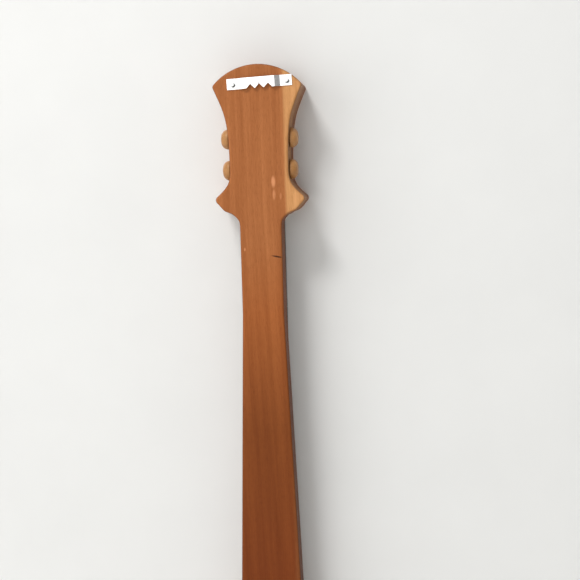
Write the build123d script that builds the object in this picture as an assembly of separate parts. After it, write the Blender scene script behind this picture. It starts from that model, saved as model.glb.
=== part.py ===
"""A long-necked, flat-backed Appalachian dulcimer that hangs on a wall nail, in millimetres.

The instrument stands upright with its head at the top: +Z runs up its length, -Y is the face with the
strings, +Y is the flat back, and the origin is the middle notch of the sawtooth hanger on the head.
Places along the instrument are given as "down", the distance below the top of the head, places across
its thickness as "rise", the height above the flat back towards the strings, and X is measured from the
centre line until the pieces are written.
"""

from build123d import *
import math
import os

# Lumber
HANGER_DOWN = 13.5  # hanger notch below the top of the head, which sets the origin
BOARD = 19.0  # three-quarter inch board, used for the neck and the head's front layer
EASE = 1.6  # rounding of the long back edges

# Neck
NECK_HALF = 14.6
FLARE_DOWN = 173.0  # where the neck starts to widen
FLARE_SLOPE = 0.0345  # half width gained for each millimetre down
NUT_DOWN = 108.0  # the nut's face that the scale is measured from
NUT_LENGTH = 4.0
NUT_RISE = 31.6

# Peg box, cut through the front layer and into the neck board
SLOT_HALF = 10.6
SLOT_TOP_DOWN = 39.0
SLOT_FLOOR = 6.0
RAMP = 15.0

# Pegs, one through each cheek
PEG_DOWNS = {"upper": 50.7, "lower": 72.4}
PEG_RISE = 10.5
PEG_RADIUS = 3.5
PEG_CLEARANCE = 0.05
KNOB_BASE = {"upper": 21.5, "lower": 20.9}  # distance of the knob's flat face from the centre line
KNOB_RADIUS = 7.0
KNOB_HEIGHT = 5.5
PEG_TIP = 1.5  # the shaft stops this far from the centre line
WINDING_SPAN = (3.0, 9.2)

# Strings: name, peg side (-1 left, +1 right), peg row, diameter, place at the nut and at the bridge
STRINGS = (
    ("melody_string_outer", -1, "lower", 0.30, -9.6, -10.6),
    ("melody_string_inner", -1, "upper", 0.30, -6.4, -7.2),
    ("middle_string", 1, "upper", 0.36, 1.2, 1.4),
    ("bass_string", 1, "lower", 0.56, 9.6, 10.6),
)
SCALE = 572.0
STRING_GAP = 0.04  # air between a string and the groove it lies in
WINDING_GAP = 0.35  # air between a string's straight run and the turning peg
STRING_BEND = 1.5

# Fretboard and its diatonic frets, as semitones above the open string
FRETBOARD_HALF = 14.4
FRETBOARD = 9.5
FRET_STEPS = (2, 4, 5, 7, 9, 10, 11, 12, 14, 16, 17, 19, 21, 22, 23, 24)
FRET_WIDTH = 2.2
FRET_HEIGHT = 1.0
TANG_WIDTH = 0.6
TANG_DEPTH = 2.0
HOLLOW = (604.0, 664.0)  # strum hollow
HOLLOW_DEPTH = 5.5

# Sound box
BODY_DOWN = 402.0
TAIL_DOWN = 762.0
PLATE = 3.0
OVERHANG = 1.5
RIB = 2.5
RIB_LEAD = 6.0  # the rib's outline starts this far up the neck and is cut off at the neck's end
LINING = (5.0, 4.0)  # width and depth
TONGUE = (15.0, 432.0)  # half width and end of the neck's tongue inside the box
TAIL_BLOCK_START = 742.0
TOP_BRACES = (470.0, 548.0, 640.0)
BACK_BRACES = (500.0, 620.0, 700.0)
BRACE = (7.0, 5.0)  # width and depth
HEART_DOWN = 585.0
HEART_OUT = 45.0
HEART_SIZE = 22.0

# Bridge and tail
SADDLE_WIDTH = 3.0
SADDLE_SEAT = 3.0
SADDLE_RISE = 33.4
TAIL_SADDLE = 5.0
TAIL_SADDLE_RISE = 30.2
PIN_RISE = 9.5
PIN_RADIUS = 0.9
PIN_HEAD_RADIUS = 1.9
PIN_DEPTH = 12.0
PIN_OUT = 4.6

# Sawtooth hanger and its two nails
HANGER_LENGTH = 45.0
HANGER_WIDTH = 7.4
STEEL = 0.7
HANGER_LIFT = 1.6  # how far the middle stands off the wood
HANGER_TAB = 8.1
HANGER_SLOPE = 3.7
HANGER_TILT = 2.6  # it was nailed on a little askew
CENTRE = 2.0  # the centre line runs this far to the right of the hanger's middle notch
NOTCH_PITCH = 6.15
NOTCH_DEPTH = 2.9
NAIL_INSET = 3.8
NAIL_RADIUS = 0.6
NAIL_LENGTH = 12.0
NAIL_HEAD_RADIUS = 1.45

HEAD_RISE = 2 * BOARD
HEAD_END = NUT_DOWN - NUT_LENGTH
FRETBOARD_RISE = BOARD + FRETBOARD
BRIDGE_DOWN = NUT_DOWN + SCALE


def place(across, down):
    """A point of a flat outline: X across, Y up along the instrument."""
    return (across, HANGER_DOWN - down)


def point(across, down, rise):
    """A point in space."""
    return (across, -rise, HANGER_DOWN - down)


def slab(face, low, high):
    """A flat outline given thickness between two rises."""
    return extrude(Plane.XZ.offset(low) * face, high - low)


def bar(across, down, rise):
    """A box given by its (low, high) pairs."""
    size = (across[1] - across[0], rise[1] - rise[0], down[1] - down[0])
    middle = point(sum(across) / 2, sum(down) / 2, sum(rise) / 2)
    return Pos(*middle) * Box(*size)


def both_sides(half):
    """A face from a half outline that starts and ends on the centre line, and its mirror image."""
    return make_face(half + mirror(half, Plane.YZ))


def rod(plane, radius, length):
    """A round rod that starts at the plane's origin and runs along its normal."""
    return plane * Cylinder(radius, length, align=(Align.CENTER, Align.CENTER, Align.MIN))


def flare(down):
    """Half width of the neck below the head."""
    return NECK_HALF + max(0.0, down - FLARE_DOWN) * FLARE_SLOPE


def head_outline():
    """Half of the head: round top, corner, long waist, pointed ear and shoulder."""
    top = ThreePointArc(place(0, 0), place(16.4, 3.45), place(30.2, 13.3))
    corner = JernArc(top @ 1, top % 1, 2.6, -66)
    waist = Spline(
        corner @ 1, place(23.2, 35.5), place(21.0, 52.0), place(20.5, 70.0), place(21.6, 80.5),
        place(30.0, 90.6),
        tangents=(corner % 1, (0.75, -0.66)),
    )
    ear = JernArc(waist @ 1, waist % 1, 3.0, -95)
    shoulder = Spline(
        ear @ 1, place(24.4, 100.9), place(20.3, 102.6), place(16.6, 105.8), place(NECK_HALF, 113.5),
        tangents=(ear % 1, (0, -1)),
    )
    return top + corner + waist + ear + shoulder


def spot_face(side, row):
    """The flat seat under a peg's knob, with the peg's hole."""
    plane = Plane(point(side * (KNOB_BASE[row] - 0.3), PEG_DOWNS[row], PEG_RISE), z_dir=(side, 0, 0))
    return rod(plane, KNOB_RADIUS + 0.4, 12) + rod(plane.offset(-18), PEG_RADIUS + PEG_CLEARANCE, 20)


def slot():
    """Outline of the peg box."""
    face = Rectangle(2 * SLOT_HALF, HEAD_END - SLOT_TOP_DOWN)
    face = fillet(face.vertices().group_by(Axis.Y)[-1], 4.0)
    return Pos(*place(0, (HEAD_END + SLOT_TOP_DOWN) / 2)) * face


def neck_board():
    """Back of the head, neck and the tongue that enters the sound box, all one board."""
    half = head_outline()
    half += Line(place(NECK_HALF, 113.5), place(NECK_HALF, FLARE_DOWN))
    half += Line(place(NECK_HALF, FLARE_DOWN), place(flare(BODY_DOWN), BODY_DOWN))
    half += Line(place(flare(BODY_DOWN), BODY_DOWN), place(0, BODY_DOWN))
    board = slab(both_sides(half), 0, BOARD)
    back_edges = board.faces().sort_by(Axis.Y)[-1].edges().sort_by(Axis.Z)
    board = fillet(back_edges[1:], EASE)
    board += bar((-TONGUE[0], TONGUE[0]), (BODY_DOWN, TONGUE[1]), (PLATE, BOARD - PLATE))
    board -= slab(slot(), SLOT_FLOOR, BOARD + 1)
    ramp = Polyline(
        point(0, HEAD_END - RAMP, SLOT_FLOOR), point(0, HEAD_END, BOARD), point(0, HEAD_END, SLOT_FLOOR),
        close=True,
    )
    board += Pos(-SLOT_HALF, 0, 0) * extrude(make_face(ramp), 2 * SLOT_HALF, dir=(1, 0, 0))
    for row in PEG_DOWNS:
        for side in (-1, 1):
            board -= spot_face(side, row)
    for plane in nail_planes():
        board -= rod(plane.offset(STEEL - NAIL_LENGTH), NAIL_RADIUS + 0.02, NAIL_LENGTH)
    return board


def peghead_front():
    """Front layer of the head, with the peg box cut through."""
    half = head_outline() + Line(place(NECK_HALF, 113.5), place(0, 113.5))
    layer = slab(both_sides(half), BOARD, HEAD_RISE)
    layer -= bar((-60, 60), (HEAD_END, 130), (BOARD - 1, HEAD_RISE + 1))
    layer -= slab(slot(), BOARD - 1, HEAD_RISE + 1)
    return layer


def peg(side, row):
    """A turned peg: a shaft through one cheek and a domed knob."""
    shaft = KNOB_BASE[row] - PEG_TIP
    plane = Plane(point(side * PEG_TIP, PEG_DOWNS[row], PEG_RISE), z_dir=(side, 0, 0))
    turned = rod(Plane.XY, PEG_RADIUS, shaft + 1)
    turned = chamfer(turned.edges().group_by(Axis.Z)[0], 0.5)
    knob = rod(Plane.XY.offset(shaft), KNOB_RADIUS, KNOB_HEIGHT)
    knob = fillet(knob.edges().group_by(Axis.Z)[-1], KNOB_HEIGHT - 0.7)
    knob = fillet(knob.edges().group_by(Axis.Z)[0], 0.5)
    return plane * (turned + knob)


def winding(side, row, wire):
    """The turns of string on a peg."""
    turns = int((WINDING_SPAN[1] - WINDING_SPAN[0]) / (wire * 1.12 + 0.22))
    pitch = (WINDING_SPAN[1] - WINDING_SPAN[0] - wire) / (turns - 1)
    plane = Plane(point(side * (WINDING_SPAN[0] + wire / 2), PEG_DOWNS[row], PEG_RISE), z_dir=(side, 0, 0))
    return [plane.offset(n * pitch) * Torus(PEG_RADIUS + wire / 2, wire / 2) for n in range(turns)]


def nail_planes():
    """Where each hanger nail enters the wood, with the normal pointing out of the back."""
    reach = HANGER_LENGTH / 2 - NAIL_INSET
    tilt = math.radians(HANGER_TILT)
    middle = HANGER_WIDTH / 2 - NOTCH_DEPTH
    return [
        Plane(
            (side * reach * math.cos(tilt) - CENTRE, 0, middle - side * reach * math.sin(tilt)),
            z_dir=(0, 1, 0),
        )
        for side in (-1, 1)
    ]


def wall_hanger():
    """A stepped steel strip with three notches in its lower edge."""
    half = HANGER_LENGTH / 2
    step, raised = half - HANGER_TAB, half - HANGER_TAB - HANGER_SLOPE
    under = [(-half, 0), (-step, 0), (-raised, HANGER_LIFT), (raised, HANGER_LIFT), (step, 0), (half, 0)]
    over = [(x, y + STEEL) for x, y in reversed(under)]
    low = -HANGER_WIDTH / 2
    strip = Pos(0, 0, low) * extrude(make_face(Polyline(*under, *over, close=True)), HANGER_WIDTH)
    gape = NOTCH_PITCH / 2 - 0.15
    for x in (-NOTCH_PITCH, 0, NOTCH_PITCH):
        notch = Polyline((x - gape, low - 0.1), (x, low + NOTCH_DEPTH), (x + gape, low - 0.1), close=True)
        strip -= slab(make_face(notch), -5, 5)
    strip -= Pos(0, 0, low + NOTCH_DEPTH) * Box(0.5, 10, 1.6)
    for side in (-1, 1):
        hole = Plane((side * (half - NAIL_INSET), -1, 0), z_dir=(0, 1, 0))
        strip -= rod(hole, NAIL_RADIUS + 0.1, 5)
    return Pos(-CENTRE, 0, HANGER_WIDTH / 2 - NOTCH_DEPTH) * Rot(0, HANGER_TILT, 0) * strip


def hanger_nails():
    """Two flat-headed nails through the hanger's ends."""
    made = []
    for plane in nail_planes():
        shank = rod(plane.offset(STEEL + 0.02 - NAIL_LENGTH), NAIL_RADIUS, NAIL_LENGTH)
        head = rod(plane.offset(STEEL + 0.02), NAIL_HEAD_RADIUS, 0.55)
        made.append(shank + fillet(head.edges().sort_by(Axis.Y)[-1], 0.4))
    return made


def box_outline(inset, lead=0.0):
    """The sound box's outline, a long teardrop, moved in by an inset. A lead carries it on up the neck."""
    edge = Spline(
        place(flare(BODY_DOWN), BODY_DOWN), place(50.0, 470.0), place(70.0, 555.0), place(76.0, 640.0),
        place(59.0, 717.0), place(0, TAIL_DOWN),
        tangents=((0.36, -1), (-1, 0)),
    )
    stations = [n / 10 for n in range(11)]
    inward = [Vector((edge % t).Y, -(edge % t).X) * inset for t in stations]
    points = [(edge @ t) + move for t, move in zip(stations, inward)]
    curve = Spline(*points, tangents=(edge % 0, edge % 1))
    start = points[0] - (edge % 0) * lead
    if lead:
        curve = Line(start, points[0]) + curve
    return both_sides(Line((0, start.Y), start) + curve)


def heart(side):
    """A heart-shaped sound hole with its point towards the tail."""
    r = HEART_SIZE / 4
    lobe = ThreePointArc((0, r * 0.6), (r, r * 1.5), (r * 2, r * 0.4))
    flank = Spline(lobe @ 1, (r * 1.2, -r * 1.2), (0, -r * 2.4), tangents=(lobe % 1, (-0.6, -0.8)))
    return Pos(*place(side * HEART_OUT, HEART_DOWN)) * both_sides(lobe + flank)


def soundboard():
    """Front plate of the box with two heart-shaped holes."""
    plate = slab(box_outline(0), BOARD - PLATE, BOARD)
    for side in (-1, 1):
        plate -= slab(heart(side), BOARD - PLATE - 1, BOARD + 1)
    return plate


def one_side(ring, side, top, bottom):
    """The part of a shape on one side of the centre line, between two places along it."""
    return ring & bar(sorted((0, 100 * side)), (top, bottom), (-1, BOARD + 1))


def pin_planes():
    """Where each string pin leaves the tail, with the normal pointing out of it."""
    return [Plane(point(at_bridge * 0.95, TAIL_DOWN - OVERHANG, PIN_RISE), z_dir=(0, 0, -1))
            for *_, at_bridge in STRINGS]


def pin_holes(shape):
    """A shape with the string pins' holes drilled."""
    for plane in pin_planes():
        shape -= rod(plane.offset(-PIN_DEPTH - 1), PIN_RADIUS + 0.02, PIN_DEPTH + 6)
    return shape


def rib(side):
    """One bent side of the box, butted against the neck's end."""
    face = box_outline(OVERHANG, RIB_LEAD) - box_outline(OVERHANG + RIB, RIB_LEAD)
    ring = slab(face, PLATE, BOARD - PLATE)
    return pin_holes(one_side(ring, side, BODY_DOWN, TAIL_DOWN + 5))


def lining(side, low):
    """A strip that widens the glue line between a rib and a plate."""
    face = box_outline(OVERHANG + RIB) - box_outline(OVERHANG + RIB + LINING[0])
    return one_side(slab(face, low, low + LINING[1]), side, TONGUE[1] + 8, TAIL_BLOCK_START)


def tail_block():
    """The block that the string pins are driven into."""
    filled = slab(box_outline(OVERHANG + RIB), PLATE, BOARD - PLATE)
    return pin_holes(filled & bar((-90, 90), (TAIL_BLOCK_START, TAIL_DOWN), (0, BOARD)))


def brace(down, low):
    """A bar across a plate, its ends following the linings."""
    inside = slab(box_outline(OVERHANG + RIB + LINING[0] + 0.3), low, low + BRACE[1])
    return inside & bar((-90, 90), (down - BRACE[0] / 2, down + BRACE[0] / 2), (0, BOARD))


def fret_down(steps):
    """Distance of a fret below the top of the head."""
    return NUT_DOWN + SCALE * (1 - 2 ** (-steps / 12))


def saddle_downs():
    """Where the bridge saddle starts and ends along the strings."""
    return (BRIDGE_DOWN - SADDLE_WIDTH / 2, BRIDGE_DOWN + SADDLE_WIDTH / 2)


def fretboard():
    """Full-length fretboard with a strum hollow and sawn slots for the frets and the saddle."""
    end = TAIL_DOWN - TAIL_SADDLE
    board = bar((-FRETBOARD_HALF, FRETBOARD_HALF), (NUT_DOWN, end), (BOARD, FRETBOARD_RISE))
    board = fillet(board.edges().filter_by(Axis.Z).group_by(Axis.Y)[0], 0.8)
    span = HOLLOW[1] - HOLLOW[0]
    radius = (span ** 2 / 4 + HOLLOW_DEPTH ** 2) / (2 * HOLLOW_DEPTH)
    centre = point(-20, sum(HOLLOW) / 2, FRETBOARD_RISE - HOLLOW_DEPTH + radius)
    board -= rod(Plane(centre, z_dir=(1, 0, 0)), radius, 40)
    for steps in FRET_STEPS:
        down = fret_down(steps)
        saw = (down - TANG_WIDTH / 2, down + TANG_WIDTH / 2)
        board -= bar((-20, 20), saw, (FRETBOARD_RISE - TANG_DEPTH, FRETBOARD_RISE + 1))
    return board - bar((-20, 20), saddle_downs(), (FRETBOARD_RISE - SADDLE_SEAT, FRETBOARD_RISE + 1))


def frets():
    """Fret wires: a round crown on a thin tang."""
    made = []
    for steps in FRET_STEPS:
        down = fret_down(steps)
        half, tang = FRET_WIDTH / 2, TANG_WIDTH / 2
        crown = ThreePointArc(
            point(0, down - half, FRETBOARD_RISE), point(0, down, FRETBOARD_RISE + FRET_HEIGHT),
            point(0, down + half, FRETBOARD_RISE),
        )
        foot = Polyline(
            point(0, down + half, FRETBOARD_RISE), point(0, down + tang, FRETBOARD_RISE),
            point(0, down + tang, FRETBOARD_RISE - TANG_DEPTH),
            point(0, down - tang, FRETBOARD_RISE - TANG_DEPTH),
            point(0, down - tang, FRETBOARD_RISE), point(0, down - half, FRETBOARD_RISE),
        )
        length = 2 * (FRETBOARD_HALF - 0.9)
        made.append(Pos(-length / 2, 0, 0) * extrude(make_face(crown + foot), length, dir=(1, 0, 0)))
    return made


def groove(across, downs, floor, wire):
    """A round groove along a string's way, open to the face."""
    radius = wire / 2 + STRING_GAP
    middle = floor + radius
    opening = bar((across - radius, across + radius), downs, (middle, middle + 4))
    return rod(Plane(point(across, downs[1], middle), z_dir=(0, 0, 1)), radius, downs[1] - downs[0]) + opening


def nut():
    """Bone nut between the head and the fretboard."""
    block = bar((-FRETBOARD_HALF, FRETBOARD_HALF), (HEAD_END, NUT_DOWN), (BOARD, NUT_RISE))
    block = fillet(block.edges().filter_by(Axis.X).group_by(Axis.Y)[0], 0.8)
    for _, _, _, wire, at_nut, _ in STRINGS:
        block -= groove(at_nut, (HEAD_END - 1, NUT_DOWN + 1), NUT_RISE - 0.8, wire)
    return block


def bridge_saddle():
    """Bone strip let into the fretboard."""
    seat = FRETBOARD_RISE - SADDLE_SEAT
    strip = bar((-FRETBOARD_HALF, FRETBOARD_HALF), saddle_downs(), (seat, SADDLE_RISE))
    strip = fillet(strip.edges().filter_by(Axis.X).group_by(Axis.Y)[0], 0.8)
    for _, _, _, wire, _, at_bridge in STRINGS:
        strip -= groove(at_bridge, (BRIDGE_DOWN - 5, BRIDGE_DOWN + 5), SADDLE_RISE - 0.5, wire)
    return strip


def tail_saddle():
    """Bone end cap that the strings bend over at the tail."""
    block = bar((-FRETBOARD_HALF, FRETBOARD_HALF), (TAIL_DOWN - TAIL_SADDLE, TAIL_DOWN + 0.6),
                (BOARD, TAIL_SADDLE_RISE))
    return fillet(block.edges().filter_by(Axis.X).group_by(Axis.Y)[0], 1.5)


def string_pins():
    """Round-headed brass pins that hold the strings' loops."""
    made = []
    for plane in pin_planes():
        shank = rod(plane.offset(-PIN_DEPTH), PIN_RADIUS, PIN_DEPTH + PIN_OUT)
        head = rod(plane.offset(PIN_OUT - 0.01), PIN_HEAD_RADIUS, 1.4)
        made.append(shank + fillet(head.edges().sort_by(Axis.Z)[0], 0.9))
    return made


def string(side, row, wire, at_nut, at_bridge):
    """One string from its peg over nut, saddle and tail to the loop on its pin."""
    lift = wire / 2 + STRING_GAP
    at_peg = side * sum(WINDING_SPAN) / 2
    at_tail = at_bridge * 0.95
    outside = TAIL_DOWN + 0.6 + lift + 0.2
    loop = PIN_RADIUS + 0.05 + wire / 2
    path = FilletPolyline(
        point(at_peg, PEG_DOWNS[row], PEG_RISE + PEG_RADIUS + 1.5 * wire + WINDING_GAP),
        point(at_nut, HEAD_END - 1.2, NUT_RISE - 0.8 + lift + 0.1),
        point(at_bridge, BRIDGE_DOWN, SADDLE_RISE - 0.5 + lift),
        point(at_tail, outside, TAIL_SADDLE_RISE + lift + 0.05),
        point(at_tail, outside, PIN_RISE + loop),
        radius=STRING_BEND,
    )
    run = sweep(Plane(path @ 0, z_dir=path % 0) * Circle(wire / 2), path=path)
    around = Plane(point(at_tail, outside, PIN_RISE), z_dir=(0, 0, 1)) * Torus(loop, wire / 2)
    return [run, around]


def parts():
    """Every piece by its node name."""
    made = {
        "neck_board": neck_board(),
        "peghead_front": peghead_front(),
        "nut": nut(),
        "fretboard": fretboard(),
        "frets": frets(),
        "bridge_saddle": bridge_saddle(),
        "tail_saddle": tail_saddle(),
        "soundboard": soundboard(),
        "back_plate": slab(box_outline(0), 0, PLATE),
        "tail_block": tail_block(),
        "string_pins": string_pins(),
        "wall_hanger": wall_hanger(),
        "hanger_nails": hanger_nails(),
    }
    for name, side in (("left", -1), ("right", 1)):
        made[f"rib_{name}"] = rib(side)
        made[f"lining_back_{name}"] = lining(side, PLATE)
        made[f"lining_front_{name}"] = lining(side, BOARD - PLATE - LINING[1])
    for n, down in enumerate(TOP_BRACES, 1):
        made[f"soundboard_brace_{n}"] = brace(down, BOARD - PLATE - BRACE[1])
    for n, down in enumerate(BACK_BRACES, 1):
        made[f"back_brace_{n}"] = brace(down, PLATE)
    for name, side, row, wire, at_nut, at_bridge in STRINGS:
        corner = f"{row}_{'left' if side < 0 else 'right'}"
        made[name] = string(side, row, wire, at_nut, at_bridge)
        made[f"peg_{corner}"] = peg(side, row)
        made[f"winding_{corner}"] = winding(side, row, wire)
    return made


def main():
    os.makedirs("parts", exist_ok=True)
    for name, shape in parts().items():
        pieces = shape if isinstance(shape, list) else [shape]
        solids = [Pos(CENTRE, 0, 0) * solid for piece in pieces for solid in piece.solids()]
        export_step(Compound(solids) if len(solids) > 1 else solids[0], f"parts/{name}.step")


main()
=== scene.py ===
"""A long-necked, flat-backed Appalachian dulcimer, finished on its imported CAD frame.

Lengths are in metres. +Z runs up the instrument, +Y out of its flat back, and -Y is the face with the
strings. The origin is the middle notch of the sawtooth hanger on the back of the head.
"""

import math

import bpy
from mathutils import Matrix, Vector


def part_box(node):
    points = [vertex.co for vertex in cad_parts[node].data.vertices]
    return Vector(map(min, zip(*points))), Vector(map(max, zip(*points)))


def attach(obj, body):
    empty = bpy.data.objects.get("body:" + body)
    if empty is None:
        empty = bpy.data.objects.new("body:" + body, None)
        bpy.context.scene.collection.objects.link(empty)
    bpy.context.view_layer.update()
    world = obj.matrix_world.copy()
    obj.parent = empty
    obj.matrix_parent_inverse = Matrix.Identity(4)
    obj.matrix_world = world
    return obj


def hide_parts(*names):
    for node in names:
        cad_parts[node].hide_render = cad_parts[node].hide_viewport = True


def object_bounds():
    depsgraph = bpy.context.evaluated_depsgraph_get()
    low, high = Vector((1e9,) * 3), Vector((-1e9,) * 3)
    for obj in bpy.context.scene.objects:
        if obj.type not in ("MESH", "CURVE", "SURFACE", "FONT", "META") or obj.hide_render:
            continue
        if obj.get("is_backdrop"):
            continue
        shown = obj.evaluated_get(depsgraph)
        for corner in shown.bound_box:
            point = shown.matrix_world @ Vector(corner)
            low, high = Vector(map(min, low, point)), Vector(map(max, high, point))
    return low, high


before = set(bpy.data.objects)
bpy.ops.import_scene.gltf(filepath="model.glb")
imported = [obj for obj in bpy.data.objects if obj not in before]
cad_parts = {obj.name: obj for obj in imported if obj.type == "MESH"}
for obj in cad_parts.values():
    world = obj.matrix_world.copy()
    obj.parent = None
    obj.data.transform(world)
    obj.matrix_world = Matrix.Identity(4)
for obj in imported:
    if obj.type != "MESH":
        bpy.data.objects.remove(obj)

bl_info = {
    "name": "Necked Dulcimer",
    "version": (1, 0, 0),
    "blender": (4, 5, 0),
    "location": "View3D > Sidebar > Dulcimer",
    "description": "Finishes a flat-backed dulcimer and sets up the studio it is shown in",
    "category": "Object",
}

MM = 0.001
BODY = "instrument"
# Metal, radius of the wire and turns of each string on its peg
TURNS = {
    "upper_left": ("steel", 0.15 * MM, 11), "lower_left": ("steel", 0.15 * MM, 11),
    "upper_right": ("steel", 0.18 * MM, 9), "lower_right": ("bronze", 0.28 * MM, 7),
}
STRINGS = ("melody_string_outer", "melody_string_inner", "middle_string", "bass_string")


def colour(code):
    """Linear RGBA of an sRGB hex value."""
    parts = [int(code[i:i + 2], 16) / 255 for i in (1, 3, 5)]
    return (*[c / 12.92 if c <= 0.04045 else ((c + 0.055) / 1.055) ** 2.4 for c in parts], 1.0)


def hex_colour(name, description, code):
    """A colour property with an sRGB hex default."""
    return bpy.props.FloatVectorProperty(
        name=name, description=description, default=colour(code), size=4, subtype="COLOR", min=0.0, max=1.0)


class StageSettings(bpy.types.PropertyGroup):
    """Camera, lights and the pale surroundings."""
    camera_place: bpy.props.FloatVectorProperty(
        name="Camera place", description="Where the camera stands", default=(-0.0986, 0.8212, -0.0726),
        unit="LENGTH", subtype="TRANSLATION")
    camera_turn: bpy.props.FloatProperty(
        name="Turn", description="Turn of the camera from square on to the back",
        default=math.radians(-5.66), subtype="ANGLE")
    camera_tip: bpy.props.FloatProperty(
        name="Tip", description="Tip of the camera upwards", default=math.radians(-4.865), subtype="ANGLE")
    camera_roll: bpy.props.FloatProperty(
        name="Roll", description="Roll of the camera about its line of sight", default=math.radians(-1.614),
        subtype="ANGLE")
    lens_angle: bpy.props.FloatProperty(
        name="Lens angle", description="Angle of view", default=math.radians(27.377), subtype="ANGLE")
    key_power: bpy.props.FloatProperty(
        name="Key light", description="Power of the key light", default=16.0, min=0.0, unit="POWER")
    softbox_power: bpy.props.FloatProperty(
        name="Soft box", description="Power of the soft box that the hanger reflects", default=9.0, min=0.0,
        unit="POWER")
    window_power: bpy.props.FloatProperty(
        name="Window", description="Power of the wide light at the side", default=26.0, min=0.0,
        unit="POWER")
    face_power: bpy.props.FloatProperty(
        name="Face light", description="Power of the light on the playing face", default=26.0, min=0.0,
        unit="POWER")
    sky: bpy.props.FloatProperty(
        name="Room light", description="Brightness of the even light of the room", default=0.30, min=0.0)
    backdrop: hex_colour("Backdrop", "Colour of the board and floor", "#ECECEA")


class WoodSettings(bpy.types.PropertyGroup):
    """Colours of the woods."""
    head: hex_colour("Cherry, head", "Heartwood of the head", "#A96638")
    neck: hex_colour("Cherry, neck", "Heartwood of the upper neck", "#A25B2C")
    heel: hex_colour("Cherry, lower neck", "Heartwood that darkened most, low on the neck", "#743310")
    sapwood: hex_colour("Sapwood", "Pale strip along one edge of the board", "#D1965F")
    sap_inset: bpy.props.FloatProperty(
        name="Sapwood line", description="Distance of the sapwood from the centre line", default=18.0 * MM,
        unit="LENGTH")
    walnut: hex_colour("Walnut", "Fretboard", "#4A2E1E")
    butternut: hex_colour("Butternut", "Soundboard", "#C79A62")
    raw: hex_colour("Raw spruce", "Linings, braces and tail block", "#D8B98A")
    maple: hex_colour("Maple", "Turned pegs", "#B5814D")


class TrimSettings(bpy.types.PropertyGroup):
    """Metal and bone."""
    zinc: hex_colour("Zinc", "Bright plated steel of the hanger", "#FBFBFA")
    steel: hex_colour("Steel", "Plain strings", "#C6C8CB")
    nickel: hex_colour("Nickel silver", "Fret wire", "#CFCBBF")
    bronze: hex_colour("Bronze", "Wound string", "#B07A45")
    brass: hex_colour("Brass", "String pins", "#D2A75A")
    bone: hex_colour("Bone", "Nut and saddles", "#EDE3CC")
    dot: bpy.props.FloatProperty(
        name="Dot", description="Diameter of an inlaid fretboard dot", default=5.0 * MM, unit="LENGTH")
    coil_side: bpy.props.IntProperty(
        name="Coil sides", description="Points in one turn of a string coil", default=28, min=8)


def add(tree, kind, links=None, **settings):
    """Adds a node. links maps its input sockets to a value or to another node's output."""
    made = tree.nodes.new(kind)
    for key, value in settings.items():
        setattr(made, key, value)
    for key, value in (links or {}).items():
        if isinstance(value, bpy.types.NodeSocket):
            tree.links.new(value, made.inputs[key])
        else:
            made.inputs[key].default_value = value
    return made


def new_material(name):
    """An empty material: its tree, its shader and the Object coordinates."""
    material = bpy.data.materials.new(name)
    material.use_nodes = True
    tree = material.node_tree
    tree.nodes.clear()
    shader = add(tree, "ShaderNodeBsdfPrincipled")
    add(tree, "ShaderNodeOutputMaterial", {"Surface": shader.outputs[0]})
    return material, tree, shader, add(tree, "ShaderNodeTexCoord").outputs["Object"]


def spot(tree, where, centre, size, turn=0.0):
    """1 inside a soft-edged ellipse on the surface and 0 outside it."""
    local = add(tree, "ShaderNodeMapping",
                {"Vector": where, "Location": centre, "Rotation": (0.0, turn, 0.0), "Scale": size},
                vector_type="TEXTURE")
    reach = add(tree, "ShaderNodeVectorMath", {0: local.outputs[0]}, operation="LENGTH")
    return add(tree, "ShaderNodeMapRange",
               {"Value": reach.outputs["Value"], "From Min": 1.0, "From Max": 0.35},
               interpolation_type="SMOOTHSTEP").outputs[0]


def streaks(tree, where, width, length, detail=3.0, roughness=0.55):
    """Noise drawn out along the grain, with streaks of that width and length in metres."""
    stretched = add(tree, "ShaderNodeMapping",
                    {"Vector": where, "Scale": (1 / width, 1 / width, 1 / length)})
    return add(tree, "ShaderNodeTexNoise",
               {"Vector": stretched.outputs[0], "Scale": 1.0, "Detail": detail, "Roughness": roughness}
               ).outputs["Fac"]


def shade(tree, base, factor, low, high, warmth=0.0):
    """Multiplies a colour by low to high as factor goes from 0.3 to 0.7. Warmth makes the dark redder."""
    ends = [tuple(v ** (1 + warmth * lean) for lean in (-0.5, 0.1, 0.9)) + (1.0,) for v in (low, high)]
    part = add(tree, "ShaderNodeMapRange", {"Value": factor, "From Min": 0.3, "From Max": 0.7})
    tint = add(tree, "ShaderNodeMix", {0: part.outputs[0], 6: ends[0], 7: ends[1]}, data_type="RGBA")
    return add(tree, "ShaderNodeMix", {0: 1.0, 6: base, 7: tint.outputs[2]}, data_type="RGBA",
               blend_type="MULTIPLY").outputs[2]


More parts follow.
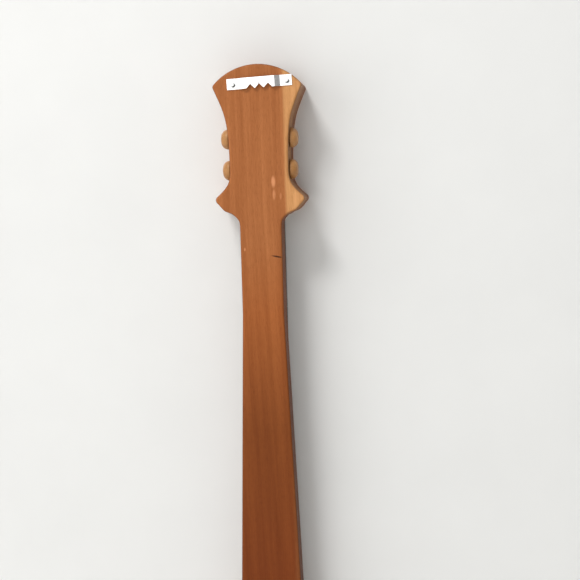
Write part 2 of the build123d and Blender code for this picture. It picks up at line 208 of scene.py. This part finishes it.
def wood(name, base, line=2.2, figure=9.0, contrast=1.0, roughness=0.46, pores=0.35, along="Z",
         where_of=None, gloss=0.0, shine=0.25, painted_side_shade=0.0):
    """A sawn and sanded wood. base is a colour, or a function that gives one from the tree."""
    material, tree, shader, place = new_material(name)
    if along == "X":
        place = add(tree, "ShaderNodeMapping",
                    {"Vector": place, "Rotation": (0.0, math.pi / 2, 0.0)}).outputs[0]
    where = where_of(tree, place) if where_of else place
    ground = base(tree, place) if callable(base) else base
    broad = streaks(tree, where, figure * MM, 190 * MM, 2.0)
    narrow = streaks(tree, where, line * MM, 120 * MM, 3.0)
    # Growth lines of 0.7 mm, as coarse as they have to be to show
    fine = streaks(tree, where, 0.7 * MM, 60 * MM, 2.0, 0.7)
    # Vessels are 0.1 mm wide and a few millimetres long, drawn at 0.25 mm
    vessel = add(tree, "ShaderNodeMapRange",
                 {"Value": streaks(tree, where, 0.25 * MM, 4 * MM, 1.0), "From Min": 0.60, "From Max": 0.72})
    # Short fibres that catch the light, a few millimetres long
    fibre = streaks(tree, where, 0.9 * MM, 7 * MM, 2.0, 0.7)
    tone = shade(tree, ground, broad, 1 - 0.28 * contrast, 1 + 0.26 * contrast, 0.5)
    tone = shade(tree, tone, narrow, 1 - 0.12 * contrast, 1 + 0.11 * contrast, 0.5)
    tone = shade(tree, tone, fine, 1 - 0.10 * contrast, 1 + 0.09 * contrast, 0.5)
    tone = shade(tree, tone, fibre, 1 - 0.13 * contrast, 1 + 0.12 * contrast, 0.4)
    # Painted shade: faces that look sideways, up or down are darkened against the flat ones, by the share
    # that is passed in
    facing = add(tree, "ShaderNodeSeparateXYZ",
                 {0: next(n for n in tree.nodes if n.type == "TEX_COORD").outputs["Normal"]})
    flat = add(tree, "ShaderNodeMath", {0: facing.outputs["Y"]}, operation="ABSOLUTE")
    edge = add(tree, "ShaderNodeMapRange",
               {"Value": flat.outputs[0], "From Min": 0.85, "From Max": 0.35, "To Max": painted_side_shade})
    # oiled is the wood's colour with that painted shade on its side faces
    oiled = add(tree, "ShaderNodeMix", {0: edge.outputs[0], 6: tone, 7: (0.40, 0.36, 0.34, 1.0)},
                data_type="RGBA", blend_type="MULTIPLY").outputs[2]
    dark = add(tree, "ShaderNodeMix", {0: pores, 6: oiled, 7: (0.30, 0.22, 0.17, 1.0)}, data_type="RGBA",
               blend_type="MULTIPLY").outputs[2]
    tone = add(tree, "ShaderNodeMix", {0: vessel.outputs[0], 6: oiled, 7: dark}, data_type="RGBA")
    tree.links.new(tone.outputs[2], shader.inputs["Base Color"])
    matt = add(tree, "ShaderNodeMapRange",
               {"Value": fine, "From Min": 0.3, "From Max": 0.7, "To Min": roughness - 0.07,
                "To Max": roughness + 0.09})
    tree.links.new(matt.outputs[0], shader.inputs["Roughness"])
    shader.inputs["IOR"].default_value = 1.48
    shader.inputs["Specular IOR Level"].default_value = shine
    shader.inputs["Coat Weight"].default_value = gloss
    shader.inputs["Coat Roughness"].default_value = 0.35
    height = add(tree, "ShaderNodeMath", {0: fine, 1: vessel.outputs[0]}, operation="SUBTRACT")
    raised = add(tree, "ShaderNodeBump",
                 {"Height": height.outputs[0], "Distance": 0.05 * MM, "Strength": 1.0})
    tree.links.new(raised.outputs[0], shader.inputs["Normal"])
    return material


def metal(name, tint, roughness, grain=(0.15, 8.0), depth=0.01):
    """Drawn or rolled metal: faint lines along it and uneven polish."""
    material, tree, shader, place = new_material(name)
    lines = streaks(tree, place, grain[0] * MM, grain[1] * MM, 2.0)
    cloud = add(tree, "ShaderNodeTexNoise", {"Vector": place, "Scale": 1 / (4 * MM), "Detail": 3.0})
    tone = shade(tree, tint, cloud.outputs["Fac"], 0.90, 1.04)
    tree.links.new(tone, shader.inputs["Base Color"])
    matt = add(tree, "ShaderNodeMapRange",
               {"Value": lines, "From Min": 0.3, "From Max": 0.7, "To Min": roughness - 0.06,
                "To Max": roughness + 0.08})
    tree.links.new(matt.outputs[0], shader.inputs["Roughness"])
    shader.inputs["Metallic"].default_value = 1.0
    raised = add(tree, "ShaderNodeBump", {"Height": lines, "Distance": depth * MM, "Strength": 1.0})
    tree.links.new(raised.outputs[0], shader.inputs["Normal"])
    return material


def wear(material, *nodes):
    """Gives CAD nodes their finish."""
    for name in nodes:
        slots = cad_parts[name].material_slots
        for slot in slots:
            slot.material = material


def from_centre(tree, place):
    """Object coordinates counted from the instrument's centre line."""
    low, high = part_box("fretboard")
    middle = (low[0] + high[0]) / 2
    return add(tree, "ShaderNodeMapping", {"Vector": place, "Location": (-middle, 0.0, 0.0)}).outputs[0]


def neck_grain(tree, place):
    """The grain runs straight down the head and drifts to one side down the neck."""
    axes = add(tree, "ShaderNodeSeparateXYZ", {0: place})
    below = add(tree, "ShaderNodeMath", {0: axes.outputs["Z"], 1: 0.085}, operation="ADD")
    below = add(tree, "ShaderNodeMath", {0: below.outputs[0], 1: 0.0}, operation="MINIMUM")
    across = add(tree, "ShaderNodeMath", {0: below.outputs[0], 1: -0.032, 2: axes.outputs["X"]},
                 operation="MULTIPLY_ADD")
    return add(tree, "ShaderNodeCombineXYZ",
               {"X": across.outputs[0], "Y": axes.outputs["Y"], "Z": axes.outputs["Z"]}).outputs[0]


def neck_colours(tree, place):
    """Cherry that darkens down the neck, with sapwood along one edge of the head and a few marks."""
    woods = bpy.context.scene.dulcimer_wood
    place = from_centre(tree, place)
    axes = add(tree, "ShaderNodeSeparateXYZ", {0: place})
    down = add(tree, "ShaderNodeMapRange",
               {"Value": axes.outputs["Z"], "From Min": 13.5 * MM, "From Max": -400 * MM})
    ramp = add(tree, "ShaderNodeValToRGB", {"Fac": down.outputs[0]})
    stops = ramp.color_ramp.elements
    stops[0].color, stops[1].color = woods.head, woods.heel
    for place_on, tint in ((0.30, woods.head), (0.42, woods.neck), (0.62, colour("#82441B"))):
        stop = stops.new(place_on)
        stop.color = tint
    # The boundary of the sapwood is soft over about 3 mm and wanders a little along the grain
    wander = streaks(tree, place, 30 * MM, 60 * MM, 2.0)
    edge = add(tree, "ShaderNodeMath", {0: wander, 1: 2.4 * MM, 2: axes.outputs["X"]},
               operation="MULTIPLY_ADD")
    sap = add(tree, "ShaderNodeMapRange",
              {"Value": edge.outputs[0], "From Min": 1.2 * MM + 1.5 * MM - woods.sap_inset,
               "From Max": 1.2 * MM - 1.5 * MM - woods.sap_inset}, interpolation_type="SMOOTHSTEP")
    high = add(tree, "ShaderNodeMapRange",
               {"Value": axes.outputs["Z"], "From Min": -140 * MM, "From Max": -104 * MM, "To Min": 0.10})
    share = add(tree, "ShaderNodeMath", {0: sap.outputs[0], 1: high.outputs[0]}, operation="MULTIPLY")
    tone = add(tree, "ShaderNodeMix", {0: share.outputs[0], 6: ramp.outputs[0], 7: woods.sapwood},
               data_type="RGBA").outputs[2]
    fleck = colour("#E39A6A")
    for centre, size, strength in (
            ((-9.7, 0, -67.5), (1.9, 2.5, 5.2), 0.75), ((-10.0, 0, -76.5), (1.5, 2.5, 4.6), 0.45),
            ((-14.6, 0, -77.5), (1.0, 2.5, 3.2), 0.3), ((11.6, 0, -114.0), (0.9, 2.0, 1.6), 0.6)):
        at = spot(tree, place, [c * MM for c in centre], [s * MM for s in size])
        share = add(tree, "ShaderNodeMath", {0: at, 1: strength}, operation="MULTIPLY")
        tone = add(tree, "ShaderNodeMix", {0: share.outputs[0], 6: tone, 7: fleck},
                   data_type="RGBA").outputs[2]
    scratch = spot(tree, place, (-11.0 * MM, 0.0, -119.4 * MM), (5.4 * MM, 1.0 * MM, 0.8 * MM),
                   math.radians(-11))
    return add(tree, "ShaderNodeMix", {0: scratch, 6: tone, 7: colour("#4A2A18")},
               data_type="RGBA").outputs[2]


def head_colours(tree, place):
    """The head's front layer, from the same cherry."""
    woods = bpy.context.scene.dulcimer_wood
    axes = add(tree, "ShaderNodeSeparateXYZ", {0: place})
    sap = add(tree, "ShaderNodeMapRange",
              {"Value": axes.outputs["X"], "From Min": -15 * MM, "From Max": -24 * MM},
              interpolation_type="SMOOTHSTEP")
    share = add(tree, "ShaderNodeMath", {0: sap.outputs[0], 1: 0.35}, operation="MULTIPLY")
    return add(tree, "ShaderNodeMix", {0: share.outputs[0], 6: woods.head, 7: woods.sapwood},
               data_type="RGBA").outputs[2]


def bone(name):
    """Sawn and polished bone: creamy and close-grained, with short faint canals."""
    material, tree, shader, place = new_material(name)
    canals = streaks(tree, place, 0.3 * MM, 2.5 * MM, 2.0)
    cloud = add(tree, "ShaderNodeTexNoise", {"Vector": place, "Scale": 1 / (5 * MM), "Detail": 3.0})
    tone = shade(tree, bpy.context.scene.dulcimer_trim.bone, cloud.outputs["Fac"], 0.92, 1.04)
    tone = shade(tree, tone, canals, 0.93, 1.03)
    tree.links.new(tone, shader.inputs["Base Color"])
    matt = add(tree, "ShaderNodeMapRange",
               {"Value": canals, "From Min": 0.3, "From Max": 0.7, "To Min": 0.24, "To Max": 0.36})
    tree.links.new(matt.outputs[0], shader.inputs["Roughness"])
    raised = add(tree, "ShaderNodeBump", {"Height": canals, "Distance": 0.01 * MM, "Strength": 1.0})
    tree.links.new(raised.outputs[0], shader.inputs["Normal"])
    return material


def wound_bronze(name):
    """Bronze wire wrapped close round a steel core: ridges 0.25 mm apart along the string."""
    material = metal(name, bpy.context.scene.dulcimer_trim.bronze, 0.32)
    tree = material.node_tree
    shader = next(n for n in tree.nodes if n.type == "BSDF_PRINCIPLED")
    place = next(n for n in tree.nodes if n.type == "TEX_COORD").outputs["Object"]
    wraps = add(tree, "ShaderNodeTexWave", {"Vector": place, "Scale": 2 * math.pi / (20 * 0.25 * MM)},
                wave_type="BANDS", bands_direction="Z")
    raised = add(tree, "ShaderNodeBump",
                 {"Height": wraps.outputs["Fac"], "Distance": 0.04 * MM, "Strength": 1.0})
    tree.links.new(raised.outputs[0], shader.inputs["Normal"])
    return material


def plain_mesh(obj):
    """Turns an object's modifiers into its own mesh."""
    evaluated = obj.evaluated_get(bpy.context.evaluated_depsgraph_get())
    mesh = bpy.data.meshes.new_from_object(evaluated)
    obj.modifiers.clear()
    obj.data = mesh
    return obj


def new_tree(name, *inputs):
    """A Geometry Nodes tree with named inputs: its group input and output nodes."""
    tree = bpy.data.node_groups.new(name, "GeometryNodeTree")
    tree.interface.new_socket("Geometry", in_out="INPUT", socket_type="NodeSocketGeometry")
    for label, kind in inputs:
        tree.interface.new_socket(label, in_out="INPUT", socket_type=kind)
    tree.interface.new_socket("Geometry", in_out="OUTPUT", socket_type="NodeSocketGeometry")
    return tree, add(tree, "NodeGroupInput")


def end_tree(tree, geometry, material):
    """Real geometry in one material, as the tree's result."""
    real = add(tree, "GeometryNodeRealizeInstances", {"Geometry": geometry})
    smooth = add(tree, "GeometryNodeSetShadeSmooth", {"Geometry": real.outputs[0]})
    dressed = add(tree, "GeometryNodeSetMaterial", {"Geometry": smooth.outputs[0], "Material": material})
    add(tree, "NodeGroupOutput", {0: dressed.outputs[0]})


def grow(name, mesh, tree, values):
    """An object whose shape comes from a tree with these inputs, as a plain mesh."""
    obj = bpy.data.objects.new(name, mesh)
    bpy.context.scene.collection.objects.link(obj)
    modifier = obj.modifiers.new("Shape", "NODES")
    modifier.node_group = tree
    for item in tree.interface.items_tree:
        if item.in_out == "INPUT" and item.name in values:
            modifier[item.identifier] = values[item.name]
    return plain_mesh(obj)


def coil_tree(material, sides):
    """Turns of wire wound round a line along X."""
    tree, given = new_tree(
        "String turns", ("Radius", "NodeSocketFloat"), ("Wire", "NodeSocketFloat"),
        ("Turns", "NodeSocketFloat"), ("Width", "NodeSocketFloat"), ("Place", "NodeSocketVector"))
    spiral = add(tree, "GeometryNodeCurveSpiral",
                 {"Resolution": sides, "Rotations": given.outputs["Turns"],
                  "Start Radius": given.outputs["Radius"], "End Radius": given.outputs["Radius"],
                  "Height": given.outputs["Width"]})
    section = add(tree, "GeometryNodeCurvePrimitiveCircle",
                  {"Resolution": 10, "Radius": given.outputs["Wire"]})
    wire = add(tree, "GeometryNodeCurveToMesh",
               {"Curve": spiral.outputs[0], "Profile Curve": section.outputs[0], "Fill Caps": True})
    placed = add(tree, "GeometryNodeTransform",
                 {"Geometry": wire.outputs[0], "Translation": given.outputs["Place"],
                  "Rotation": (0.0, math.pi / 2, 0.0)})
    end_tree(tree, placed.outputs[0], material)
    return tree


def dot_tree(material):
    """A thin disc on every point, facing -Y."""
    tree, given = new_tree("Fretboard dots", ("Radius", "NodeSocketFloat"), ("Thickness", "NodeSocketFloat"))
    disc = add(tree, "GeometryNodeMeshCylinder",
               {"Vertices": 40, "Radius": given.outputs["Radius"], "Depth": given.outputs["Thickness"]})
    dots = add(tree, "GeometryNodeInstanceOnPoints",
               {"Points": given.outputs[0], "Instance": disc.outputs["Mesh"],
                "Rotation": (math.pi / 2, 0.0, 0.0)})
    end_tree(tree, dots.outputs[0], material)
    return tree


class DULCIMER_OT_stage(bpy.types.Operator):
    """Sets up the camera, the lights, the pale board behind the instrument and the floor"""
    bl_idname = "dulcimer.stage"
    bl_label = "Studio"

    def execute(self, context):
        stage = context.scene.dulcimer_stage
        context.scene.view_settings.view_transform = "Standard"
        camera = bpy.data.objects.new("camera", bpy.data.cameras.new("camera"))
        context.scene.collection.objects.link(camera)
        level = Vector((-math.sin(stage.camera_turn), -math.cos(stage.camera_turn), 0.0))
        ahead = level * math.cos(stage.camera_tip) + Vector((0, 0, math.sin(stage.camera_tip)))
        right = ahead.cross(Vector((0, 0, 1))).normalized()
        turned = Matrix((right, right.cross(ahead), -ahead)).transposed()
        rolled = turned @ Matrix.Rotation(stage.camera_roll, 3, "Z")
        camera.matrix_world = Matrix.Translation(stage.camera_place) @ rolled.to_4x4()
        camera.data.angle = stage.lens_angle
        camera.data.clip_start = 0.01
        context.scene.camera = camera
        for name, place, target, size, power in (
                ("key", (0.52, 1.08, 1.30), (0, 0, -0.15), (0.50, 0.24), stage.key_power),
                ("soft_box", (0.28, 2.1, 0.20), (0, 0, 0), (1.4, 1.4), stage.softbox_power),
                ("window", (2.6, 1.9, 0.30), (0, 0, 0), (2.2, 2.2), stage.window_power),
                ("face_light", (0.9, -1.6, 0.7), (0, 0, -0.37), (1.2, 1.2), stage.face_power)):
            self.light(context, name, Vector(place), Vector(target), size, power)
        world = bpy.data.worlds.new("room")
        world.use_nodes = True
        world.node_tree.nodes["Background"].inputs["Color"].default_value = (1.0, 0.995, 0.985, 1.0)
        world.node_tree.nodes["Background"].inputs["Strength"].default_value = stage.sky
        context.scene.world = world
        low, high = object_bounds()
        back = low[1] - 0.6 * MM
        ground = low[2] - 0.5 * MM
        paint = self.paint(stage.backdrop)
        board = self.sheet("board", [(-2.5, back, ground), (-2.5, back, 2.2), (2.5, back, 2.2),
                                     (2.5, back, ground)], paint)
        board.visible_shadow = False
        self.sheet("floor", [(-2.5, -2.5, ground), (2.5, -2.5, ground), (2.5, 2.5, ground),
                             (-2.5, 2.5, ground)], paint)
        return {"FINISHED"}

    def light(self, context, name, place, target, size, power):
        """A rectangular light that faces a point."""
        lamp = bpy.data.lights.new(name, "AREA")
        lamp.shape = "RECTANGLE"
        lamp.size, lamp.size_y = size
        lamp.energy = power
        obj = bpy.data.objects.new(name, lamp)
        obj.location = place
        obj.rotation_euler = (target - place).to_track_quat("-Z", "Y").to_euler()
        context.scene.collection.objects.link(obj)

    def paint(self, tint):
        """Matt pale paint that is clear from behind, so the board never hides the instrument."""
        material, tree, shader, place = new_material("matt_pale_board")
        cloud = add(tree, "ShaderNodeTexNoise", {"Vector": place, "Scale": 1 / (60 * MM), "Detail": 4.0})
        tone = shade(tree, tint, cloud.outputs["Fac"], 0.985, 1.01)
        tree.links.new(tone, shader.inputs["Base Color"])
        shader.inputs["Roughness"].default_value = 0.9
        shader.inputs["Specular IOR Level"].default_value = 0.1
        behind = add(tree, "ShaderNodeNewGeometry").outputs["Backfacing"]
        clear = add(tree, "ShaderNodeBsdfTransparent")
        both = add(tree, "ShaderNodeMixShader", {0: behind, 1: shader.outputs[0], 2: clear.outputs[0]})
        output = next(n for n in tree.nodes if n.type == "OUTPUT_MATERIAL")
        tree.links.new(both.outputs[0], output.inputs["Surface"])
        return material

    def sheet(self, name, corners, paint):
        """A flat sheet that belongs to the studio."""
        mesh = bpy.data.meshes.new(name)
        mesh.from_pydata(corners, [], [(0, 1, 2, 3)])
        mesh.materials.append(paint)
        obj = bpy.data.objects.new(name, mesh)
        bpy.context.scene.collection.objects.link(obj)
        obj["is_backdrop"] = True
        return obj


class DULCIMER_OT_neck(bpy.types.Operator):
    """Finishes the neck board and the front layer of the head in oiled cherry"""
    bl_idname = "dulcimer.neck"
    bl_label = "Neck and head"

    def execute(self, context):
        # Cherry, planed, sanded and oiled: warm red-brown, close grain, a low sheen and a pale sapwood edge
        # The side faces of the board and the head are darkened with painted shade
        wear(wood("cherry_neck_oiled", neck_colours, contrast=0.6, figure=6.0, line=2.0, where_of=neck_grain,
                  pores=0.3, roughness=0.5, shine=0.14, painted_side_shade=0.8), "neck_board")
        wear(wood("cherry_head_front_oiled", head_colours, contrast=0.7, roughness=0.5, shine=0.14,
                  painted_side_shade=0.8), "peghead_front")
        return {"FINISHED"}


class DULCIMER_OT_pegs(bpy.types.Operator):
    """Finishes the turned maple pegs"""
    bl_idname = "dulcimer.pegs"
    bl_label = "Pegs"

    def execute(self, context):
        # Hard maple, turned and burnished: pale tan, very close grain along the peg and a soft shine
        wear(wood("maple_turned", context.scene.dulcimer_wood.maple, contrast=0.45, figure=4.0, line=1.2,
                  roughness=0.36, pores=0.15, along="X", gloss=0.15), *[f"peg_{place}" for place in TURNS])
        return {"FINISHED"}


class DULCIMER_OT_coils(bpy.types.Operator):
    """Winds each string's turns on its peg as one spiral of wire"""
    bl_idname = "dulcimer.coils"
    bl_label = "String turns"

    def execute(self, context):
        trim = context.scene.dulcimer_trim
        steel = metal("string_steel_wound_on_peg", trim.steel, 0.28, (0.05, 3.0), 0.004)
        bronze = metal("string_bronze_wound_on_peg", trim.bronze, 0.34, (0.05, 3.0), 0.004)
        trees = {"steel": coil_tree(steel, trim.coil_side), "bronze": coil_tree(bronze, trim.coil_side)}
        for place, (kind, wire, turns) in TURNS.items():
            low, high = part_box(f"winding_{place}")
            middle = [(a + b) / 2 for a, b in zip(low, high)]
            coil = grow(f"string_turns_{place}", bpy.data.meshes.new("turns"), trees[kind], {
                "Radius": (high[2] - low[2]) / 2 - wire, "Wire": wire, "Turns": float(turns),
                "Width": high[0] - low[0] - 2 * wire, "Place": (low[0] + wire, middle[1], middle[2])})
            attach(coil, f"{place}_peg")
            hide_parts(f"winding_{place}")
        return {"FINISHED"}


class DULCIMER_OT_hanger(bpy.types.Operator):
    """Finishes the sawtooth hanger and its nails"""
    bl_idname = "dulcimer.hanger"
    bl_label = "Wall hanger"

    def execute(self, context):
        # Thin steel strip, stamped and zinc plated: near-white, bright, with faint rolling lines along it
        zinc = metal("zinc_plated_strip", context.scene.dulcimer_trim.zinc, 0.32, (6.0, 0.3), 0.006)
        # Paints a dark shadow beside each nail head
        self.paint_nail_shadows(zinc.node_tree)
        wear(zinc, "wall_hanger")
        wear(metal("zinc_plated_nail", context.scene.dulcimer_trim.zinc, 0.36, (0.3, 0.3), 0.01),
             "hanger_nails")
        return {"FINISHED"}

    def paint_nail_shadows(self, tree):
        """Painted shadow: a dark crescent below each nail head, where the head's shadow falls."""
        shader = next(n for n in tree.nodes if n.type == "BSDF_PRINCIPLED")
        place = next(n for n in tree.nodes if n.type == "TEX_COORD").outputs["Object"]
        low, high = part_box("hanger_nails")
        head = 1.45 * MM  # radius of a nail head
        tone = shader.inputs["Base Color"].links[0].from_socket
        for x, z in ((low[0] + head, high[2] - head), (high[0] - head, low[2] + head)):
            # A near-black painted shadow, to the lower side of each nail head
            nail_shadow = spot(tree, place, (x - 0.8 * MM, 0, z - 0.9 * MM), (2.3 * MM, 9 * MM, 2.0 * MM),
                        0.6)
            tone = add(tree, "ShaderNodeMix", {0: nail_shadow, 6: tone, 7: (0.03, 0.03, 0.03, 1.0)},
                       data_type="RGBA").outputs[2]
        tree.links.new(tone, shader.inputs["Base Color"])


class DULCIMER_OT_fretboard(bpy.types.Operator):
    """Finishes the fretboard, frets, nut and saddles, and inlays the dots"""
    bl_idname = "dulcimer.fretboard"
    bl_label = "Fretboard"

    def execute(self, context):
        woods, trim = context.scene.dulcimer_wood, context.scene.dulcimer_trim
        # Black walnut, planed and oiled: dark chocolate with open pores
        wear(wood("walnut_oiled", woods.walnut, contrast=1.0, figure=6.0, line=1.6, roughness=0.42,
                  pores=0.6), "fretboard")
        wear(metal("nickel_silver_fret_wire", trim.nickel, 0.26, (0.2, 0.2), 0.004), "frets")
        wear(bone("bone_polished"), "nut", "bridge_saddle", "tail_saddle")
        self.dots(trim)
        return {"FINISHED"}

    def dots(self, trim):
        """Round bone dots let into the fretboard between frets."""
        nut_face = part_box("nut")[0][2]
        saddle = sum(corner[2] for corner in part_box("bridge_saddle")) / 2
        low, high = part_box("fretboard")
        face, middle = low[1], (low[0] + high[0]) / 2
        points = []
        # The frets on each side of a dot, in semitones above the open string
        for frets in ((4, 5), (7, 9), (11, 12), (14, 16), (19, 21)):
            reach = [1 - 2 ** (-step / 12) for step in frets]
            points.append((middle, face + 0.2 * MM, nut_face + (saddle - nut_face) * sum(reach) / 2))
        mesh = bpy.data.meshes.new("dot places")
        mesh.from_pydata(points, [], [])
        dots = grow("fretboard_dots", mesh, dot_tree(bone("bone_inlay")),
                    {"Radius": trim.dot / 2, "Thickness": 0.5 * MM})
        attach(dots, BODY)


class DULCIMER_OT_sound_box(bpy.types.Operator):
    """Finishes the sound box, its soundboard, sides and back, and the raw wood inside it"""
    bl_idname = "dulcimer.sound_box"
    bl_label = "Sound box"

    def execute(self, context):
        woods = context.scene.dulcimer_wood
        # Butternut, quarter sawn and oiled: golden tan with straight fine lines
        # The soundboard's side faces are darkened with painted shade
        wear(wood("butternut_oiled", woods.butternut, contrast=0.7, figure=14.0, line=2.6, roughness=0.45,
                  painted_side_shade=0.5), "soundboard")
        # Cherry, as dark as the lowest part of the neck
        wear(wood("cherry_box_oiled", woods.heel, contrast=0.8, figure=12.0, line=2.4, roughness=0.48),
             "back_plate", "rib_left", "rib_right")
        # Spruce, sawn and left raw: pale, dry and straight grained
        wear(wood("spruce_raw", woods.raw, contrast=0.6, figure=5.0, line=1.4, roughness=0.75, pores=0.1),
             "tail_block", *[f"lining_{a}_{b}" for a in ("back", "front") for b in ("left", "right")])
        wear(wood("spruce_raw_braces", woods.raw, contrast=0.6, figure=5.0, line=1.4, roughness=0.75,
                  pores=0.1, along="X"),
             *[f"{a}_brace_{n}" for a in ("soundboard", "back") for n in (1, 2, 3)])
        return {"FINISHED"}


class DULCIMER_OT_strings(bpy.types.Operator):
    """Finishes the strings and the pins they loop over"""
    bl_idname = "dulcimer.strings"
    bl_label = "Strings"

    def execute(self, context):
        trim = context.scene.dulcimer_trim
        wear(metal("plain_steel_string", trim.steel, 0.24, (0.05, 6.0), 0.003), *STRINGS[:3])
        wear(wound_bronze("wound_bronze_string"), STRINGS[3])
        wear(metal("brass_pin", trim.brass, 0.3, (0.2, 0.2), 0.006), "string_pins")
        return {"FINISHED"}


STEPS = (DULCIMER_OT_stage, DULCIMER_OT_neck, DULCIMER_OT_pegs, DULCIMER_OT_coils, DULCIMER_OT_hanger,
         DULCIMER_OT_fretboard, DULCIMER_OT_sound_box, DULCIMER_OT_strings)


class DULCIMER_PT_panel(bpy.types.Panel):
    """Lists the steps and their settings"""
    bl_idname = "DULCIMER_PT_panel"
    bl_label = "Dulcimer"
    bl_space_type = "VIEW_3D"
    bl_region_type = "UI"
    bl_category = "Dulcimer"

    def draw(self, context):
        for step in STEPS:
            self.layout.operator(step.bl_idname)
        for name in SETTINGS:
            group = getattr(context.scene, name)
            for key in group.bl_rna.properties.keys():
                if key not in ("rna_type", "name"):
                    self.layout.prop(group, key)


SETTINGS = {"dulcimer_stage": StageSettings, "dulcimer_wood": WoodSettings, "dulcimer_trim": TrimSettings}
CLASSES = (*SETTINGS.values(), *STEPS, DULCIMER_PT_panel)


def register():
    for cls in CLASSES:
        bpy.utils.register_class(cls)
    for name, group in SETTINGS.items():
        setattr(bpy.types.Scene, name, bpy.props.PointerProperty(type=group))


def unregister():
    for name in SETTINGS:
        delattr(bpy.types.Scene, name)
    for cls in reversed(CLASSES):
        bpy.utils.unregister_class(cls)


def main():
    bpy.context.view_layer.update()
    register()
    for step in STEPS:
        group, name = step.bl_idname.split(".")
        getattr(getattr(bpy.ops, group), name)()


if __name__ == "__main__":
    main()
